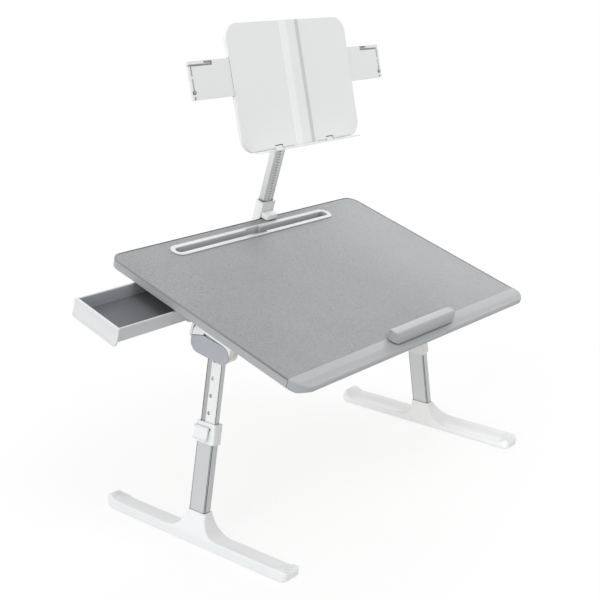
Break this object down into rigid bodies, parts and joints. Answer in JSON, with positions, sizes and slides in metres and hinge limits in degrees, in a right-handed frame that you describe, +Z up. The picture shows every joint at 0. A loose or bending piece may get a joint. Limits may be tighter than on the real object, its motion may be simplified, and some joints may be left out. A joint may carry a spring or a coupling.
{
  "type": "folding laptop table",
  "caption": "Folding tilt-top laptop table with telescopic legs, an end drawer, a pen tray, a stop bar and a clamp-on book stand.",
  "frame": {"origin": "on the floor, under the middle of the whole table's box", "axes": "+X to the user's right, +Y away from the user, +Z up"},
  "size_m": [0.7348, 0.4292, 0.7528],
  "materials": {
    "board": "raw fibreboard",
    "leather": "fine-grained synthetic leather",
    "band": "satin moulding",
    "piping": "dark edge piping",
    "strip": "satin moulding",
    "tray": "satin moulding",
    "white_plastic": "fine satin moulding",
    "liner": "matt liner",
    "clip_plastic": "grey-lavender satin moulding",
    "aluminium": "brushed and anodised",
    "steel": "plated steel",
    "rubber": "matt",
    "stop_plastic": "satin silver-grey",
    "stand_plastic": "satin moulding",
    "wire": "dark plated wire"
  },
  "bodies": {
    "desktop": {"desk_board": "board", "top_skin": "leather", "edge_band": "band", "edge_piping": "piping", "wrist_strip": "strip", "pen_tray": "tray", "drawer_housing": "white_plastic", "housing_screws": "steel", "fold_bracket_left": "white_plastic", "fold_bracket_right": "white_plastic", "bracket_screws": "steel", "fold_pin_left": "steel", "fold_pin_right": "steel"},
    "drawer": {"drawer_box": "white_plastic", "drawer_liner": "liner", "drawer_front": "white_plastic"},
    "stopper": {"stop_bar": "stop_plastic", "stop_pad": "rubber"},
    "stand_clamp": {"clamp_column": "stand_plastic", "column_screws": "steel"},
    "stand_jaw": {"clamp_jaw": "stand_plastic"},
    "stand_mast": {"stand_post": "stand_plastic"},
    "stand_panel": {"panel_pin": "steel", "panel_front": "stand_plastic", "panel_back": "stand_plastic", "panel_bracket": "stand_plastic", "ledge_pins": "steel"},
    "ledge": {"page_ledge": "stand_plastic"},
    "left_wing": {"wing_left": "stand_plastic"},
    "right_wing": {"wing_right": "stand_plastic"},
    "left_page_clip": {"page_clip_left": "wire"},
    "right_page_clip": {"page_clip_right": "wire"},
    "left_hinge": {"hinge_housing_left": "white_plastic", "tilt_pin_left": "steel"},
    "left_clip": {"tilt_clip_left": "clip_plastic"},
    "left_leg_inner": {"leg_head_left": "white_plastic", "upper_tube_left": "aluminium", "index_strip_left": "white_plastic"},
    "left_leg_outer": {"lower_tube_left": "aluminium", "collar_left": "white_plastic", "lever_pin_left": "steel", "foot_left": "white_plastic", "foot_pads_left": "rubber"},
    "left_lever": {"lever_left": "white_plastic"},
    "left_index_pin": {"index_pin_left": "steel"},
    "right_hinge": {"hinge_housing_right": "white_plastic", "tilt_pin_right": "steel"},
    "right_clip": {"tilt_clip_right": "clip_plastic"},
    "right_leg_inner": {"leg_head_right": "white_plastic", "upper_tube_right": "aluminium", "index_strip_right": "white_plastic"},
    "right_leg_outer": {"lower_tube_right": "aluminium", "collar_right": "white_plastic", "lever_pin_right": "steel", "foot_right": "white_plastic", "foot_pads_right": "rubber"},
    "right_lever": {"lever_right": "white_plastic"},
    "right_index_pin": {"index_pin_right": "steel"}
  },
  "joints": [
    {"name": "drawer_slide", "type": "slide", "parent": "desktop", "child": "drawer", "axis": [1, 0, 0], "range_m": [-0.018, 0.108]},
    {"name": "stopper_lift", "type": "slide", "parent": "desktop", "child": "stopper", "axis": [0, -0.3064, 0.9519], "range_m": [0, 0.03]},
    {"name": "left_fold", "type": "hinge", "parent": "desktop", "child": "left_hinge", "pos_m": [-0.20765, -0.0174, 0.31825], "axis": [0, -0.9519, -0.3064], "range_deg": [0, 98]},
    {"name": "left_tilt", "type": "hinge", "parent": "left_hinge", "child": "left_leg_inner", "pos_m": [-0.20915, -0.00606, 0.28303], "axis": [1, 0, 0], "range_deg": [-18.16, 17.84]},
    {"name": "left_clip_pull", "type": "slide", "parent": "left_hinge", "child": "left_clip", "axis": [-1, 0, 0], "range_m": [0, 0.005], "stiffness_N_per_m": 600, "springref_m": -0.003},
    {"name": "left_height", "type": "slide", "parent": "left_leg_inner", "child": "left_leg_outer", "axis": [0.1891, 0, 0.982], "range_m": [0, 0.0804]},
    {"name": "left_lever_flip", "type": "hinge", "parent": "left_leg_outer", "child": "left_lever", "pos_m": [-0.24235, -0.00606, 0.17411], "axis": [0, 1, 0], "range_deg": [0, 80]},
    {"name": "left_pin_draw", "type": "slide", "parent": "left_leg_outer", "child": "left_index_pin", "axis": [-0.982, 0, 0.1891], "range_m": [0, 0.003]},
    {"name": "right_fold", "type": "hinge", "parent": "desktop", "child": "right_hinge", "pos_m": [0.29235, -0.0174, 0.31825], "axis": [0, 0.9519, 0.3064], "range_deg": [0, 98]},
    {"name": "right_tilt", "type": "hinge", "parent": "right_hinge", "child": "right_leg_inner", "pos_m": [0.29385, -0.00606, 0.28303], "axis": [1, 0, 0], "range_deg": [-18.16, 17.84]},
    {"name": "right_clip_pull", "type": "slide", "parent": "right_hinge", "child": "right_clip", "axis": [1, 0, 0], "range_m": [0, 0.005], "stiffness_N_per_m": 600, "springref_m": -0.003},
    {"name": "right_height", "type": "slide", "parent": "right_leg_inner", "child": "right_leg_outer", "axis": [-0.1891, 0, 0.982], "range_m": [0, 0.0804]},
    {"name": "right_lever_flip", "type": "hinge", "parent": "right_leg_outer", "child": "right_lever", "pos_m": [0.32704, -0.00606, 0.17411], "axis": [0, -1, 0], "range_deg": [0, 80]},
    {"name": "right_pin_draw", "type": "slide", "parent": "right_leg_outer", "child": "right_index_pin", "axis": [0.982, 0, 0.1891], "range_m": [0, 0.003]},
    {"name": "stand_pull_off", "type": "slide", "parent": "desktop", "child": "stand_clamp", "axis": [0, 0.9519, 0.3064], "range_m": [0, 0.06]},
    {"name": "jaw_slide", "type": "slide", "parent": "stand_clamp", "child": "stand_jaw", "axis": [0, 0.3064, -0.9519], "range_m": [0, 0.028]},
    {"name": "mast_slide", "type": "slide", "parent": "stand_clamp", "child": "stand_mast", "axis": [0, 0.3064, -0.9519], "range_m": [0, 0.0777]},
    {"name": "panel_tilt", "type": "hinge", "parent": "stand_mast", "child": "stand_panel", "pos_m": [0.10385, 0.1161, 0.63036], "axis": [1, 0, 0], "range_deg": [-40, 29.42]},
    {"name": "ledge_fold", "type": "hinge", "parent": "stand_panel", "child": "ledge", "pos_m": [0.10385, 0.08936, 0.55367], "axis": [-1, 0, 0], "range_deg": [0, 65]},
    {"name": "left_wing_slide", "type": "slide", "parent": "stand_panel", "child": "left_wing", "axis": [1, 0, 0], "range_m": [0, 0.08]},
    {"name": "left_page_clip_turn", "type": "hinge", "parent": "left_wing", "child": "left_page_clip", "pos_m": [-0.13015, 0.11282, 0.67115], "axis": [0, -0.2007, -0.9796], "range_deg": [0, 150]},
    {"name": "right_wing_slide", "type": "slide", "parent": "stand_panel", "child": "right_wing", "axis": [-1, 0, 0], "range_m": [0, 0.08]},
    {"name": "right_page_clip_turn", "type": "hinge", "parent": "right_wing", "child": "right_page_clip", "pos_m": [0.33785, 0.11282, 0.67115], "axis": [0, 0.2007, 0.9796], "range_deg": [0, 150]}
  ],
  "couplings": [
    {"joint": "right_tilt", "follows": "left_tilt", "ratio": 1},
    {"joint": "left_lever_flip", "follows": "left_pin_draw", "rad_per_m": 465.4},
    {"joint": "right_lever_flip", "follows": "right_pin_draw", "rad_per_m": 465.4}
  ]
}
